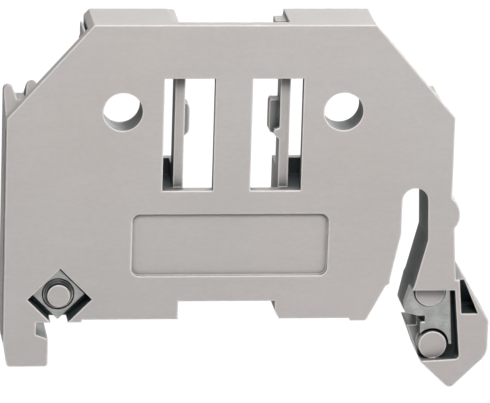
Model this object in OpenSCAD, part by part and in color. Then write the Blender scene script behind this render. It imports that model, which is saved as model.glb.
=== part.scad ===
// Screwless end stop for a 35 mm top-hat rail: one moulded body and two steel clamping plates.
// X runs across the rail, Y along it and Z up. The origin is the middle of the rail's flange plane.

/* [Rail] */
// Width over the rail's two flanges
rail_w = 35; // [34.8:0.1:35.2]
// Thickness of a flange
rail_t = 1; // [0.9:0.05:1.1]

/* [Body] */
// Thickness of the body along the rail
body_t = 6; // [5.8:0.1:8]
// Height of the top edge above the flanges
body_h = 28; // [27.8:0.1:29]
// Half the width of the top edge
top_half_w = 12.8; // [12.6:0.1:13]
// Distance of the hook's side from the middle
hook_side_w = 20.55; // [20.4:0.05:20.7]
// Distance of the spring's side from the middle
spring_side_w = 20.3; // [20.2:0.05:20.4]
// Height at which the bevels meet the upright sides
bevel_z = 19.25; // [19:0.05:19.5]
// Thickness of the front plate
plate_t = 1.1; // [1:0.05:1.2]
// Depth of the solid part behind the front face
core_t = 3.1; // [3:0.1:3.3]
// Thickness of ribs and rear walls
wall = 0.9; // [0.8:0.05:1]

/* [Marker slot and windows] */
// Half the width of the marker slot between its two webs
slot_half_w = 4.35; // [4.3:0.05:4.4]
// Height of the marker slot's floor
slot_floor_z = 10; // [9.8:0.1:10.2]
// Distance of a window's inner edge from the middle
window_inner = 1.7; // [1.6:0.1:1.8]
// Distance of a window's outer edge from the middle
window_outer = 6.33; // [6.2:0.01:6.4]
// Height of the windows' lower edges
window_z0 = 12.45; // [12.3:0.05:12.6]
// Height of the windows' upper edges
window_z1 = 23; // [22.8:0.1:23.2]

/* [Bores] */
// Radius of the two round bores
bore_r = 1.78; // [1.7:0.01:1.85]
// Distance of each bore from the middle
bore_x = 10.05; // [10:0.05:10.1]
// Height of the bores
bore_z = 19.9; // [19.8:0.1:20]

/* [Label recess] */
// Half the width of the label recess
label_half_w = 9; // [8.8:0.1:9.1]
// Height of its lower edge
label_z0 = 4.35; // [4.3:0.05:4.5]
// Height of its upper edge
label_z1 = 10.25; // [10.1:0.05:10.3]
// Depth of the label recess
label_depth = 0.3; // [0.2:0.05:0.4]

/* [Clamping plates] */
// Half the diagonal of the square pocket over the hook
pocket_half_d = 2.96; // [2.9:0.01:3]
// Half the diagonal of the square plate in it
square_half_d = 2.42; // [2.38:0.01:2.42]
// Thickness of both clamping plates
clamp_t = 1.2; // [1.1:0.05:1.3]
// Depth of the plates' front faces below the body's front face
clamp_depth = 1; // [0.9:0.05:1.1]
// Clearance between a clamping plate and its pegs
clamp_gap = 0.1; // [0.08:0.01:0.12]

/* [Hidden] */
$fn = 48;

plastic = [0.73, 0.715, 0.705];
steel = [0.62, 0.63, 0.61];

overlap = 0.01;
pocket_floor = clamp_depth + clamp_t;
rail_edge = rail_w / 2;

// The bevel's outward normal, and the line behind which the rear of the body stays
bevel_run = hook_side_w - top_half_w;
bevel_rise = body_h - bevel_z;
bevel_slope = bevel_rise / bevel_run;
bevel_inset = 1.8;
inset_drop = bevel_inset * sqrt(1 + bevel_slope * bevel_slope);
function inset_z(x) = body_h - inset_drop - (abs(x) - top_half_w) * bevel_slope;
hollow_inset = 1.4;

// Hook: the slot that takes the left flange, and the leg below it
hook_wall_x = -rail_edge - 0.1;
leg_x = -16.45;
leg_z = -4.2;
leg_r = 0.32;
rear_leg_z = -2.6;
lip_z = -rail_t - 0.17;
lip_drop = 0.45;
seat_left_x = -13.4;
seat_right_x0 = 11.3;
seat_right_x1 = 12.6;
under_z = 0.25;

// Notch in the middle of the lower edge
notch_left_x = -4.6;
notch_right_x = 4.3;
notch_z = 1.95;

// Slot beside the spring arm
arm_slot_r = 1.19;
arm_slot_x = 16.93;
arm_slot_z = 11.42;

// Bump on the outside of the spring arm
bump_x = 19.1;
bump_z = 10.05;
bump_r = 2;

// Foot: the clamping plate's recess, its two pegs, and the pocket for a screwdriver's tip
recess_top = 2.84;
upper_peg = [18.75, 2.45];
lower_peg = [19.15, -2.65];
upper_peg_r = 1.38;
lower_peg_r = 1.28;
peg_depth = 0.75;
lower_peg_gap = 0.25;
flange_stop_x = rail_edge + 0.3;
nose_z = -rail_t - 0.15;
wing_top = 3.8;
driver_pocket_depth = 2.5;
driver_pocket_z = 0.58;

// Square pocket and plate; the plate's peg has a shoulder that fills the plate's hole
pocket_x = -15.46;
pocket_z = 2.17;
square_x = pocket_x - 0.07;
square_z = square_half_d;
square_peg_r = 1.04;
square_peg_depth = 0.35;
shoulder_r = 1.38;
shoulder_depth = clamp_depth + 0.05;

// Posts at the tops of the upright sides; the hook's side slopes up from the plate
post_groove_z = 20.1;
prong_r = 0.47;
ramp_z = 19.15;
ramp_angle = 24;
side_groove_w = 1;
side_groove_depth = 0.25;

// Marker slot
mouth_z = 23.6;
mouth_half_w = 5;
lead_in = 0.7;
lead_in_drop = 0.1;
web_depth = 3.4;
web_foot_z = 14.1;
side_gap = 7.4;
block_left_x = -13.3;
fin_gap = 0.2;
fin_t = 0.18;

// Points along an arc from angle a0 to angle a1
function arc(c, r, a0, a1, n = 6) =
    [for (i = [0 : n]) let (a = a0 + (a1 - a0) * i / n) [c[0] + r * cos(a), c[1] + r * sin(a)]];

// Extrudes a profile drawn in X and Z between two depths behind the front face
module slab(from, to) {
    translate([0, to - body_t / 2, 0])
        rotate([90, 0, 0])
            linear_extrude(to - from)
                children();
}

// Rectangle between two corners
module box2(x0, z0, x1, z1) {
    translate([x0, z0])
        square([x1 - x0, z1 - z0]);
}

module rounded_box2(x0, z0, x1, z1, r) {
    box2(x0 + r, z0, x1 - r, z1);
    box2(x0, z0 + r, x1, z1 - r);
    for (x = [x0 + r, x1 - r], z = [z0 + r, z1 - r])
        translate([x, z])
            circle(r);
}

// Round pin or bore along Y between two depths behind the front face
module pin(x, z, r, from, to) {
    translate([x, to - body_t / 2, z])
        rotate([90, 0, 0])
            cylinder(h = to - from, r = r);
}

// Square standing on one corner
module diamond(x, z, half_d) {
    polygon([[x - half_d, z], [x, z - half_d], [x + half_d, z], [x, z + half_d]]);
}

// Lower edge from the leg's outer corner to the foot of the spring arm's slot
function hook_and_seat() = concat(
    [[-hook_side_w, -1.9]],
    arc([-19.9, leg_z + leg_r], leg_r, 190, 270, 4),
    arc([leg_x - leg_r, leg_z + leg_r], leg_r, 270, 360, 4),
    [
        [leg_x, lip_z - lip_drop],
        [hook_wall_x, lip_z],
        [hook_wall_x, 0],
        [seat_left_x, 0],
        [seat_left_x, under_z],
        [notch_left_x, under_z],
        [notch_left_x, notch_z],
        [notch_right_x, notch_z],
        [notch_right_x, 1],
        [notch_right_x + 0.4, under_z],
        [seat_right_x0, under_z],
        [seat_right_x0, 0]
    ],
    arc([seat_right_x1 - 0.1, 0.4], 0.4, 270, 335, 4)
);

// Slot beside the spring arm, from the seat up and down again on the arm's inner side
function arm_slot() = concat(
    [[14.44, 3.26], [14.83, 3.55], [14.88, 4.13], [15.74, 8.31]],
    arc([arm_slot_x, arm_slot_z], arm_slot_r, 180, 0, 12),
    [[18.25, 7.65], [17.16, 3.28], [17, 2.95]]
);

// Foot, from the inner side round its tip to the spring arm's outer side
function foot() = concat(
    [
        [16.5, 0.6],
        [16.55, 0.35],
        [flange_stop_x, 0.1],
        [flange_stop_x, nose_z],
        [16.9, nose_z],
        [18, -4.07]
    ],
    arc([20.75, -5.95], 0.52, 225, 320, 4),
    [[23, -4.45]],
    arc([22.15, -2.52], 2, 322, 360, 4),
    arc([23.35, -0.3], 0.8, 0, 50, 4),
    [[21.86, wing_top], [20.95, wing_top]]
);

// Outer side of the spring arm, with its bump, up to the right bevel
function arm_side() = concat(
    arc([bump_x, bump_z], bump_r, -40, 53, 8),
    [[spring_side_w, 11.6]]
);

function lower_edge() = concat(hook_and_seat(), arm_slot(), foot(), arm_side());

// Outline of the front plate
function plate_outline() = concat(
    lower_edge(),
    [
        [spring_side_w, bevel_z],
        [top_half_w, body_h],
        [-top_half_w, body_h],
        [-hook_side_w, bevel_z]
    ]
);

// Upper edge of what stands behind the plate: posts, inset bevels and the two marker blocks
function rear_upper_edge() = concat(
    [
        [spring_side_w, 18.6],
        [19.1, 20.67],
        [17.4, 20.67],
        [17.4, inset_z(17.4)],
        [top_half_w, inset_z(top_half_w)],
        [top_half_w, body_h],
        [mouth_half_w, body_h],
        [slot_half_w, mouth_z],
        [slot_half_w, slot_floor_z],
        [-slot_half_w, slot_floor_z],
        [-slot_half_w, mouth_z],
        [-mouth_half_w, body_h - lead_in_drop],
        [-mouth_half_w - lead_in, body_h],
        [-top_half_w, body_h],
        [block_left_x, body_h - 0.55],
        [block_left_x, 25.6],
        [block_left_x - fin_gap, 25.5],
        [block_left_x - fin_gap, 27.1],
        [block_left_x - fin_gap - fin_t, 27],
        [block_left_x - fin_gap - fin_t, inset_z(block_left_x - fin_gap - fin_t)],
        [-17.4, inset_z(17.4)]
    ],
    arc([-17.9, 20.75], 0.55, 0, 165, 6),
    [[-18.65, post_groove_z], [-19.45, post_groove_z]],
    arc([-hook_side_w + prong_r, 20.5], prong_r, 0, 180, 6)
);

function rear_outline() = concat(lower_edge(), rear_upper_edge());

// Hollows that open at the back, between the ribs
module rear_hollows() {
    for (side = [-1, 1])
        mirror([side < 0 ? 1 : 0, 0])
            polygon([
                [slot_half_w + wall, web_foot_z],
                [16.9, web_foot_z],
                [16.9, inset_z(16.9) - hollow_inset],
                [top_half_w - wall, inset_z(top_half_w - wall) - hollow_inset],
                [top_half_w - wall, body_h - wall],
                [mouth_half_w + wall + 0.1, body_h - wall],
                [mouth_half_w + wall + 0.1, mouth_z],
                [slot_half_w + wall, mouth_z]
            ]);
    polygon([[-19.5, 11.5], [-19.5, 6.2], [-15.4, 6.2], [-11.4, 2.2], [-11.4, 1.2], [-5.5, 1.2], [-5.5, 11.5]]);
    box2(-slot_half_w, notch_z + wall, slot_half_w, slot_floor_z - wall);
    polygon([[5.3, 1.2], [11.9, 1.2], [13.9, 5], [14.8, 8.6], [14.8, 11.5], [5.3, 11.5]]);
    polygon([[19.3, 2.2], [18.6, -3.6], [20.7, -5.3], [22.9, -2.9], [22.9, -0.9], [20.3, -0.9], [20.1, 2.2]]);
}

// Gaps between the webs and the core, seen through the outer parts of the windows
module side_gaps() {
    for (side = [-1, 1])
        mirror([side < 0 ? 1 : 0, 0])
            box2(slot_half_w + wall, window_z0, side_gap, mouth_z);
}

// Label recess, bare
module label_recess() {
    slab(-overlap, label_depth)
        rounded_box2(-label_half_w, label_z0, label_half_w, label_z1, 0.75);
}

module windows() {
    slab(-overlap, plate_t + overlap)
        for (side = [-1, 1])
            mirror([side < 0 ? 1 : 0, 0])
                box2(window_inner, window_z0, window_outer, window_z1);
}

// Webs stand back from the rear face above their feet
module web_setback() {
    slab(web_depth, body_t + overlap)
        for (side = [-1, 1])
            mirror([side < 0 ? 1 : 0, 0])
                box2(slot_half_w - overlap, web_foot_z, side_gap, mouth_z);
}

// Rear wall that closes the foot of each side gap
module side_gap_backs() {
    slab(body_t - 0.8, body_t)
        for (side = [-1, 1])
            mirror([side < 0 ? 1 : 0, 0])
                box2(slot_half_w, window_z0 - wall, side_gap + 0.5, web_foot_z);
}

// Catches on the webs that hold a marker, and the guide rib at the slot's mouth
module catches() {
    slab(1.5, 3)
        polygon([[-4.4, 17.2], [-3.95, 17.55], [-3.85, 17.9], [-3.85, 19.8], [-3.95, 20.2], [-4.4, 20.5]]);
    slab(2.1, web_depth)
        polygon([[4.4, 17.2], [3.65, 17.4], [3.47, 17.7], [3.47, 20.2], [3.6, 20.5], [4.4, 20.5]]);
    slab(plate_t, 1.7)
        polygon([[4.8, 16.9], [4.4, 16.9], [3.85, 17.5], [3.9, 17.9], [4.4, 18.1], [4.8, 18.1]]);
    slab(3, 5)
        polygon([[4.9, 24], [3.95, 24.6], [3.95, 27.6], [4.9, 27.6]]);
}

// Pocket over the hook; its lower corner opens into the flange slot
module square_pocket() {
    slab(-overlap, pocket_floor)
        diamond(pocket_x, pocket_z, pocket_half_d);
}

// Recess in the foot, open towards the rail
module foot_recess() {
    slab(-overlap, pocket_floor)
        polygon([[16, recess_top], [20.95, recess_top], [21.55, -3.5], [21.35, -3.8], [18, -4], [16, -4]]);
}

// Open at the top, with a floor that slopes down from there
module driver_pocket() {
    intersection() {
        slab(-overlap, driver_pocket_depth)
            polygon([[21.29, 4.1], [21.6, driver_pocket_z], [23.14, driver_pocket_z], [21.62, 4.1]]);
        translate([20.5, -body_t / 2, 0])
            rotate([90, 0, 90])
                linear_extrude(3)
                    polygon([
                        [-1, driver_pocket_z - 0.1],
                        [driver_pocket_depth, driver_pocket_z - 0.1],
                        [driver_pocket_depth, driver_pocket_z + 0.4],
                        [0.35, wing_top],
                        [0.35, 4.2],
                        [-1, 4.2]
                    ]);
    }
}

module foot_pegs() {
    pin(upper_peg[0], upper_peg[1], upper_peg_r, peg_depth, pocket_floor + overlap);
    pin(lower_peg[0], lower_peg[1], lower_peg_r, peg_depth, pocket_floor + overlap);
}

// Everything behind the front plate, before it is hollowed
module rear_block() {
    difference() {
        slab(plate_t, body_t)
            polygon(rear_outline());
        translate([-hook_side_w - 1, plate_t - body_t / 2, ramp_z])
            rotate([ramp_angle, 0, 0])
                cube([4.2, body_t, body_t]);
        slab(plate_t, plate_t + side_groove_w)
            box2(-hook_side_w - 1, -5, -hook_side_w + side_groove_depth, 18);
        slab(plate_t, body_t + overlap)
            box2(-22, -5, -16, rear_leg_z);
        slab(5.1, body_t + overlap)
            box2(block_left_x - fin_gap - 1, 25.5, block_left_x - overlap, 28);
    }
}

// Peg with a shoulder for the square plate
module square_peg() {
    pin(square_x, square_z, square_peg_r, square_peg_depth, pocket_floor + overlap);
    pin(square_x, square_z, shoulder_r, shoulder_depth, pocket_floor + overlap);
}

// One moulding: plate, posts, blocks, webs, hook, spring arm and foot
module body() {
    color(plastic) {
        difference() {
            union() {
                slab(0, plate_t)
                    polygon(plate_outline());
                rear_block();
            }
            slab(core_t, body_t + overlap)
                rear_hollows();
            slab(plate_t, body_t + overlap)
                side_gaps();
            web_setback();
            windows();
            label_recess();
            square_pocket();
            foot_recess();
            driver_pocket();
            for (side = [-1, 1])
                pin(side * bore_x, bore_z, bore_r, -overlap, body_t + overlap);
        }
        side_gap_backs();
        catches();
        foot_pegs();
        square_peg();
    }
}

// Square plate whose lower corner bears on the left flange
module clamp_plate_left() {
    color(steel)
        difference() {
            slab(clamp_depth, pocket_floor)
                diamond(square_x, square_z, square_half_d);
            pin(square_x, square_z, shoulder_r + clamp_gap, clamp_depth - overlap, pocket_floor + overlap);
        }
}

// Bar between the foot's two pegs, notched for the edge of the right flange
module clamp_plate_foot() {
    color(steel)
        difference() {
            slab(clamp_depth, pocket_floor)
                polygon([
                    [16.95, recess_top - clamp_gap],
                    [16.5, 1.2],
                    [16.55, 0.4],
                    [flange_stop_x, 0.1],
                    [18.4, 0.1],
                    [18.4, -0.5],
                    [18, -0.55],
                    [18, lower_peg[1]],
                    [20.95, lower_peg[1]],
                    [20.62, recess_top - clamp_gap]
                ]);
            pin(upper_peg[0], upper_peg[1], upper_peg_r + clamp_gap, clamp_depth - overlap, pocket_floor + overlap);
            pin(lower_peg[0], lower_peg[1], lower_peg_r + lower_peg_gap, clamp_depth - overlap, pocket_floor + overlap);
        }
}

body();
clamp_plate_left();
clamp_plate_foot();
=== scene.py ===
import math

import bpy
import numpy as np
from bpy.props import FloatProperty, FloatVectorProperty, PointerProperty
from mathutils import Matrix, Vector


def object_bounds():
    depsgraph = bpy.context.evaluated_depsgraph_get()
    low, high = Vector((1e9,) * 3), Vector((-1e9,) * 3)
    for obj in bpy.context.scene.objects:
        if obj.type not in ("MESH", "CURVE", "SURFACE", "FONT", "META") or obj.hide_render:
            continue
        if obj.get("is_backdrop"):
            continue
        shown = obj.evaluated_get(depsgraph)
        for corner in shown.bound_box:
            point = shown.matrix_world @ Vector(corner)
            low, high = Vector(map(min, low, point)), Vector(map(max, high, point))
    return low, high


bl_info = {
    "name": "Rail end stop",
    "version": (1, 0, 0),
    "blender": (4, 5, 0),
    "location": "View3D > Sidebar > End stop",
    "description": "Dresses a screwless end stop: body, clamping plates, light and camera",
    "category": "Object",
}

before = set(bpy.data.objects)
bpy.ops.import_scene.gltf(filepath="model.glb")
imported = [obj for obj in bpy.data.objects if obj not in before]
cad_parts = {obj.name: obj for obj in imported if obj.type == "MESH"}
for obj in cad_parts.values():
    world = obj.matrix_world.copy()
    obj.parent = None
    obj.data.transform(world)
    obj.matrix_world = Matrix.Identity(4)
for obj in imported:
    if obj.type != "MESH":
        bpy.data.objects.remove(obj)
CAD_LOW, CAD_HIGH = (Vector(c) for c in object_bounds())
MM = 0.001
WHITE = (1, 1, 1)


# ---------------------------------------------------------------- sizes and colours


class EndStopMoulding(bpy.types.PropertyGroup):
    colour: FloatVectorProperty(
        name="Plastic colour",
        description="Colour of the moulded body",
        subtype="COLOR",
        size=3,
        min=0,
        max=1,
        default=(0.5, 0.47, 0.455),
    )
    edge_radius: FloatProperty(
        name="Edge radius",
        description="Rounding that the finish gives the body's edges; the mesh keeps sharp ones",
        default=0.26 * MM,
        min=0.02 * MM,
        max=0.4 * MM,
        precision=5,
        unit="LENGTH",
    )
    grain: FloatProperty(
        name="Grain depth",
        description="Depth of the fine grain that the mould leaves",
        default=0.006 * MM,
        min=0,
        max=0.05 * MM,
        precision=6,
        unit="LENGTH",
    )


class EndStopPlates(bpy.types.PropertyGroup):
    colour: FloatVectorProperty(
        name="Steel colour",
        description="Colour of the two clamping plates",
        subtype="COLOR",
        size=3,
        min=0,
        max=1,
        default=(0.52, 0.53, 0.51),
    )
    edge_radius: FloatProperty(
        name="Edge radius",
        description="Rounding that tumbling leaves on the plates' edges, in the finish alone",
        default=0.1 * MM,
        min=0.01 * MM,
        max=0.2 * MM,
        precision=5,
        unit="LENGTH",
    )


class EndStopStage(bpy.types.PropertyGroup):
    azimuth: FloatProperty(
        name="Azimuth",
        description="Direction that the camera looks from, counted from the front to the right",
        default=math.radians(-7),
        subtype="ANGLE",
    )
    elevation: FloatProperty(
        name="Elevation",
        description="Height of the camera above the horizon",
        default=math.radians(16.5),
        subtype="ANGLE",
    )
    roll: FloatProperty(
        name="Roll",
        description="Turn of the camera about its own axis",
        default=math.radians(1.75),
        subtype="ANGLE",
    )
    distance: FloatProperty(
        name="Camera distance",
        description="Distance from the camera to the point that it looks at",
        default=500 * MM,
        unit="LENGTH",
    )
    view_width: FloatProperty(
        name="View width",
        description="Width of what the camera sees at that distance",
        default=44.8307 * MM,
        precision=6,
        unit="LENGTH",
    )
    floor_drop: FloatProperty(
        name="Floor drop",
        description="Drop to the floor from the part, which hangs where its rail would hold it",
        default=40 * MM,
        unit="LENGTH",
    )
    lamp_power: FloatProperty(
        name="Lamp power",
        description="Factor on the power of all four lamps",
        default=1.0,
        min=0,
    )


# ---------------------------------------------------------------- shader maths


class Wire:
    """A socket in a node tree; arithmetic on it adds Math nodes."""

    def __init__(self, tree, value):
        self.tree = tree
        self.value = value

    def _math(self, operation, a, b):
        node = self.tree.nodes.new("ShaderNodeMath")
        node.operation = operation
        plug(self.tree, a, node.inputs[0])
        plug(self.tree, b, node.inputs[1])
        return Wire(self.tree, node.outputs[0])

    def __add__(self, other):
        return self._math("ADD", self, other)

    def __radd__(self, other):
        return self._math("ADD", other, self)

    def __sub__(self, other):
        return self._math("SUBTRACT", self, other)

    def __rsub__(self, other):
        return self._math("SUBTRACT", other, self)

    def __mul__(self, other):
        return self._math("MULTIPLY", self, other)

    def __rmul__(self, other):
        return self._math("MULTIPLY", other, self)

    def maximum(self, other):
        return self._math("MAXIMUM", self, other)


def plug(tree, source, socket):
    """Links a wire to a socket, or sets the socket's value."""
    if isinstance(source, Wire):
        source = source.value
    if isinstance(source, bpy.types.NodeSocket):
        tree.links.new(source, socket)
    elif isinstance(source, (tuple, list)) and len(source) == 3 and socket.type == "RGBA":
        socket.default_value = (*source, 1.0)
    else:
        socket.default_value = source


class Finish:
    """A material and the few ways in which nodes are added to it."""

    def __init__(self, name):
        self.material = bpy.data.materials.new(name)
        self.material.use_nodes = True
        self.tree = self.material.node_tree
        self.tree.nodes.clear()
        out = self.tree.nodes.new("ShaderNodeOutputMaterial")
        self.shader = self.tree.nodes.new("ShaderNodeBsdfPrincipled")
        self.tree.links.new(self.shader.outputs[0], out.inputs["Surface"])
        self.output = out
        self.place = self.node("ShaderNodeTexCoord", output="Object")

    def node(self, kind, settings=None, sockets=None, output=0):
        """Adds one node: its settings first, then the values or links of its sockets."""
        node = self.tree.nodes.new(kind)
        for key, value in (settings or {}).items():
            setattr(node, key, value)
        for key, value in (sockets or {}).items():
            plug(self.tree, value, node.inputs[key])
        return Wire(self.tree, node.outputs[output])

    def noise(self, size, detail, roughness=0.5, squeeze=None):
        """Noise from 0 to 1 in blobs `size` metres across; a squeeze below 1 draws them out."""
        at = self.place
        if squeeze:
            at = self.node("ShaderNodeMapping", sockets={"Vector": at, "Scale": squeeze})
        return self.node(
            "ShaderNodeTexNoise",
            sockets={"Vector": at, "Scale": 1 / size, "Detail": detail, "Roughness": roughness},
        )

    def between(self, value, low, high):
        """Where value lies from low to high, as 0 to 1, smoothly."""
        return self.node(
            "ShaderNodeMapRange",
            {"interpolation_type": "SMOOTHSTEP"},
            {"Value": value, "From Min": low, "From Max": high},
        )

    def mixed(self, factor, a, b, blend="MIX"):
        """Colour a where the factor is 0 and b where it is 1; the colour sockets are 6 and 7."""
        settings = {"data_type": "RGBA", "blend_type": blend}
        return self.node("ShaderNodeMix", settings, {0: factor, 6: a, 7: b}, output=2)

    def multiplied(self, a, b):
        """Product of two colours."""
        return self.mixed(1.0, a, b, blend="MULTIPLY")

    def rounding(self, radius):
        """The normal of an edge rounded to this radius, and a mask that is 1 on the rounded strip:
        there the cosine between the rounded and the flat normal falls short of 1."""
        rounded = self.node("ShaderNodeBevel", {"samples": 6}, {"Radius": radius})
        flat = self.node("ShaderNodeNewGeometry", output="Normal")
        product = {"operation": "DOT_PRODUCT"}
        cosine = self.node("ShaderNodeVectorMath", product, {0: rounded, 1: flat}, output="Value")
        return rounded, self.between(1 - cosine, 0.004, 0.1)

    def openness(self, reach):
        """1 on open faces, falling towards 0 in corners and gaps narrower than the reach."""
        kind = "ShaderNodeAmbientOcclusion"
        return self.node(kind, {"samples": 8}, {"Distance": reach}, output="AO")

    def bump(self, height, distance, normal):
        """The normal with a relief of this height, times a distance in metres, laid over it."""
        sockets = {"Height": height, "Distance": distance, "Normal": normal}
        return self.node("ShaderNodeBump", sockets=sockets)

    def set(self, **values):
        """Plugs values or wires into the shader's sockets, named with _ for each space."""
        for name, value in values.items():
            plug(self.tree, value, self.shader.inputs[name.replace("_", " ")])


def swing(noise, amount):
    """Noise about 0 instead of 0.5, scaled by the amount."""
    return (noise - 0.5) * amount


def tinted(colour, gain):
    """The colour made darker or paler by a factor, and kept within 1."""
    return tuple(min(1.0, c * gain) for c in colour)


def moulded_plastic(colour, grain, radius):
    """Matt moulded polyamide: fine grain, slow clouding where the melt cooled, faint flow streaks,
    paler rounded edges that are a painted highlight, and painted shade that darkens corners and
    gaps."""
    f = Finish("moulded_polyamide")
    painted_corner_shade = (0.07, 0.1, 0.11)
    cool, warm = (0.99, 1.0, 1.0), (1.0, 0.99, 0.985)
    dark_gain, pale_gain, highlight_gain = 0.955, 1.03, 1.95

    clouds = f.noise(9 * MM, detail=3)
    flow = f.noise(1.6 * MM, detail=2, squeeze=(0.35, 1, 1.6))
    speck = f.noise(0.22 * MM, detail=1)
    fleck = f.noise(0.3 * MM, detail=2, squeeze=(0.45, 1, 1))
    tone = swing(clouds, 0.5) + swing(flow, 0.3) + swing(fleck, 0.5) + 0.5
    patches = f.between(tone, 0.3, 0.7)
    warmth = f.between(f.noise(14 * MM, detail=1), 0.35, 0.65)
    base = f.mixed(patches, tinted(colour, dark_gain), tinted(colour, pale_gain))
    base = f.multiplied(base, f.mixed(warmth, cool, warm))

    rounded, rim = f.rounding(radius)
    open_air = f.openness(5 * MM)
    # Painted shade: the colour darkens towards a cool teal-grey where occlusion closes in, in
    # corners, gaps and hollows.
    base = f.mixed(f.between(open_air, 0.4, 0.94), f.multiplied(base, painted_corner_shade), base)
    # Painted highlight: a paler strip along the rounded edges, left out in crevices.
    base = f.mixed(rim * f.between(open_air, 0.3, 0.6), base, tinted(colour, highlight_gain))

    rough = 0.5 + swing(flow, 0.16) + swing(speck, 0.12)
    height = f.noise(0.11 * MM, detail=2, roughness=0.6) + 0.6 * f.noise(0.34 * MM, detail=1)
    f.set(Base_Color=base, Roughness=rough, Metallic=0.0, IOR=1.5, Specular_IOR_Level=0.42)
    f.set(Normal=f.bump(height, grain, normal=rounded))
    return f.material


def spring_steel(colour, radius):
    """Blanked and tumbled spring steel: fine brushing along X, clouded patches, bright edges that
    are a painted highlight, and painted shade that darkens corners and gaps."""
    f = Finish("tumbled_spring_steel")
    dark_gain, pale_gain, highlight_gain, corner_shade_gain = 0.82, 1.16, 1.7, 0.3
    brushing_depth = 0.006 * MM

    brushed = f.noise(0.12 * MM, detail=3, roughness=0.65, squeeze=(0.12, 1, 1))
    clouds = f.noise(0.9 * MM, detail=3)
    pits = f.noise(0.16 * MM, detail=1)
    tone = swing(clouds, 0.9) + swing(brushed, 0.5) + 0.5
    patches = f.between(tone, 0.25, 0.78)
    base = f.mixed(patches, tinted(colour, dark_gain), tinted(colour, pale_gain))

    rounded, rim = f.rounding(radius)
    open_air = f.openness(0.7 * MM)
    # Painted shade: the steel darkens in corners and gaps where occlusion closes in.
    base = f.mixed(f.between(open_air, 0.05, 0.55), tinted(colour, corner_shade_gain), base)
    # Painted highlight: a bright strip along the plates' edges, left out in crevices.
    painted_edge_highlight = rim * f.between(open_air, 0.3, 0.6) * 0.7
    base = f.mixed(painted_edge_highlight, base, tinted(colour, highlight_gain))

    rough = 0.36 + swing(clouds, 0.2) + swing(pits, 0.12)
    f.set(Base_Color=base, Roughness=rough, Metallic=1.0)
    f.set(Normal=f.bump(brushed + 0.6 * pits, brushing_depth, normal=rounded))
    return f.material


# ---------------------------------------------------------------- dressing


def dressed(node, material):
    """Gives a CAD node its finish; its shape and place are already right."""
    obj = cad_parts[node]
    obj.data.materials.clear()
    obj.data.materials.append(material)


# ---------------------------------------------------------------- pieces


class ENDSTOP_OT_moulding(bpy.types.Operator):
    """Body in matt moulded plastic, its edges rounded by the finish"""

    bl_idname = "endstop.moulding"
    bl_label = "Moulded body"

    def execute(self, context):
        p = context.scene.endstop_moulding
        dressed("body", moulded_plastic(tuple(p.colour), p.grain, p.edge_radius))
        return {"FINISHED"}


class ENDSTOP_OT_plates(bpy.types.Operator):
    """The square plate over the hook and the notched plate in the foot"""

    bl_idname = "endstop.plates"
    bl_label = "Clamping plates"

    def execute(self, context):
        p = context.scene.endstop_plates
        steel = spring_steel(tuple(p.colour), p.edge_radius)
        for node in ("clamp_plate_left", "clamp_plate_foot"):
            dressed(node, steel)
        return {"FINISHED"}


# ---------------------------------------------------------------- stage

# each lamp's offset in metres from the middle of the part, its power in watts and its width
LAMPS = {
    "main_lamp": ((0.01, -0.135, 0.155), 0.315, 0.08),
    "side_lamp": ((0.34, -0.26, 0.10), 0.3, 0.2),
    "back_lamp": ((0.14, 0.42, 0.02), 0.9, 0.3),
    "ceiling_lamp": ((0, 0.35, 0.8), 0.6, 1.0),
}
FLOOR_RADIUS = 3.0
FLOOR_HOLE = 1 * MM  # its rim is closed by one small face
FLOOR_RINGS, FLOOR_SIDES = 6, 64
CAMERA_AIM = Vector((1.8, 0, 10.8)) * MM
AIM_LEFT, AIM_DOWN = 0.18 * MM, 0.25 * MM
SENSOR_WIDTH = 36


def lamp(name, place, at, power, width):
    """A square lamp at a place, turned towards a point."""
    data = bpy.data.lights.new(name, "AREA")
    data.energy, data.size = power, width
    obj = bpy.data.objects.new(name, data)
    obj.location = place
    obj.rotation_euler = (at - place).to_track_quat("-Z", "Y").to_euler()
    bpy.context.scene.collection.objects.link(obj)


def plain_floor(drop):
    """A disc of floor with radius r and angle a as its two parameters: x is r times the cosine
    of a, y is r times the sine of a, and z is the part's lowest point less the drop."""
    radii = np.linspace(FLOOR_HOLE, FLOOR_RADIUS, FLOOR_RINGS)
    angles = np.linspace(0, 2 * math.pi, FLOOR_SIDES + 1)[:-1]
    radius, angle = np.meshgrid(radii, angles)
    level = np.full_like(radius, CAD_LOW.z - drop)
    points = np.stack([radius * np.cos(angle), radius * np.sin(angle), level], -1).reshape(-1, 3)

    sides, rings = radius.shape
    side, ring = np.meshgrid(np.arange(sides), np.arange(rings - 1), indexing="ij")
    corner = (side * rings + ring).ravel()
    beside = ((side + 1) % sides * rings + ring).ravel()
    quads = np.stack([corner, corner + 1, beside + 1, beside], 1)
    hole = (np.arange(sides) * rings)[::-1]

    mesh = bpy.data.meshes.new("floor")
    mesh.from_pydata(points.tolist(), [], quads.tolist() + [hole.tolist()])
    floor = bpy.data.objects.new("floor", mesh)
    bpy.context.scene.collection.objects.link(floor)
    floor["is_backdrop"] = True
    return floor


def floor_paint():
    """Pale matt floor mixed with a glow that only the camera sees, so that it shows white."""
    f = Finish("floor_paint")
    glow_share, glow_strength = 0.55, 1.42
    f.set(Base_Color=(0.9, 0.9, 0.9), Roughness=0.9)
    paint = Wire(f.tree, f.shader.outputs[0])
    glow = f.node("ShaderNodeEmission", sockets={"Color": WHITE, "Strength": glow_strength})
    camera_ray = f.node("ShaderNodeLightPath", output="Is Camera Ray")
    share = camera_ray * glow_share
    surface = f.node("ShaderNodeMixShader", sockets={0: share, 1: paint, 2: glow})
    plug(f.tree, surface, f.output.inputs["Surface"])
    return f.material


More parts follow.
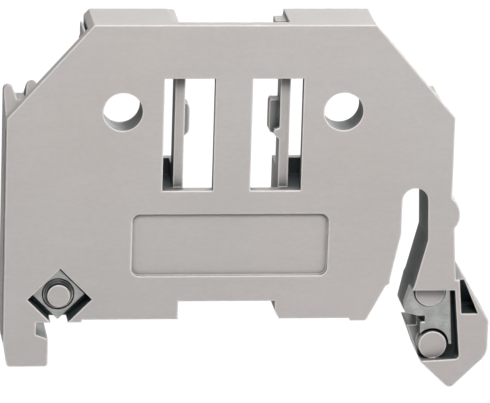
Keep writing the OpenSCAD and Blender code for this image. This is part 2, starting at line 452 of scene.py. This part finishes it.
def pale_surroundings():
    """White to the camera, nearly so in reflections, and dim as a source of light."""
    dim, reflected = 0.2, 0.8
    world = bpy.data.worlds.new("pale_surroundings")
    world.use_nodes = True
    tree = world.node_tree
    rays = tree.nodes.new("ShaderNodeLightPath").outputs
    camera, glossy, through = (
        Wire(tree, rays[f"Is {kind} Ray"]) for kind in ("Camera", "Glossy", "Transmission")
    )
    seen = camera.maximum(through).maximum(glossy * reflected)
    background = tree.nodes["Background"]
    plug(tree, WHITE, background.inputs["Color"])
    plug(tree, seen * (1 - dim) + dim, background.inputs["Strength"])
    return world


def fixed_camera(stage):
    """A camera on a sphere round its aim, turned about its own axis by the roll."""
    a, e = stage.azimuth, stage.elevation
    back = Vector((math.sin(a) * math.cos(e), -math.cos(a) * math.cos(e), math.sin(e)))
    turn = Matrix.Rotation(stage.roll, 3, back)
    right = turn @ Vector((0, 0, 1)).cross(back).normalized()
    up = back.cross(right)
    place = CAMERA_AIM - right * AIM_LEFT - up * AIM_DOWN + back * stage.distance

    data = bpy.data.cameras.new("camera")
    data.sensor_width = SENSOR_WIDTH
    data.lens = SENSOR_WIDTH * stage.distance / stage.view_width
    data.clip_start, data.clip_end = 0.02, 20
    camera = bpy.data.objects.new("camera", data)
    axes = Matrix((right, up, back)).transposed().to_4x4()
    camera.matrix_world = Matrix.Translation(place) @ axes
    bpy.context.scene.collection.objects.link(camera)
    return camera


class ENDSTOP_OT_stage(bpy.types.Operator):
    """Pale floor, soft lamps, white surroundings and the camera"""

    bl_idname = "endstop.stage"
    bl_label = "Stage"

    def execute(self, context):
        scene = context.scene
        p = scene.endstop_stage
        plain_floor(p.floor_drop).data.materials.append(floor_paint())
        middle = (CAD_LOW + CAD_HIGH) / 2
        for name, (offset, power, width) in LAMPS.items():
            lamp(name, middle + Vector(offset), middle, p.lamp_power * power, width)
        scene.world = pale_surroundings()
        scene.camera = fixed_camera(p)
        scene.view_settings.view_transform = "Standard"
        return {"FINISHED"}


# ---------------------------------------------------------------- panel and registration

OPERATORS = (ENDSTOP_OT_moulding, ENDSTOP_OT_plates, ENDSTOP_OT_stage)
GROUPS = {
    "endstop_moulding": EndStopMoulding,
    "endstop_plates": EndStopPlates,
    "endstop_stage": EndStopStage,
}


class ENDSTOP_PT_panel(bpy.types.Panel):
    """Sizes, colours and makers of the end stop"""

    bl_idname = "ENDSTOP_PT_panel"
    bl_label = "Rail end stop"
    bl_space_type = "VIEW_3D"
    bl_region_type = "UI"
    bl_category = "End stop"

    def draw(self, context):
        for (name, group), operator in zip(GROUPS.items(), OPERATORS):
            box = self.layout.box()
            for field in group.__annotations__:
                box.prop(getattr(context.scene, name), field)
            box.operator(operator.bl_idname)


CLASSES = (*GROUPS.values(), *OPERATORS, ENDSTOP_PT_panel)


def register():
    for cls in CLASSES:
        bpy.utils.register_class(cls)
    for name, group in GROUPS.items():
        setattr(bpy.types.Scene, name, PointerProperty(type=group))


def unregister():
    for name in GROUPS:
        delattr(bpy.types.Scene, name)
    for cls in reversed(CLASSES):
        bpy.utils.unregister_class(cls)


def main():
    """Makes the part and its stage."""
    register()
    bpy.ops.endstop.moulding()
    bpy.ops.endstop.plates()
    bpy.ops.endstop.stage()


if __name__ == "__main__":
    main()
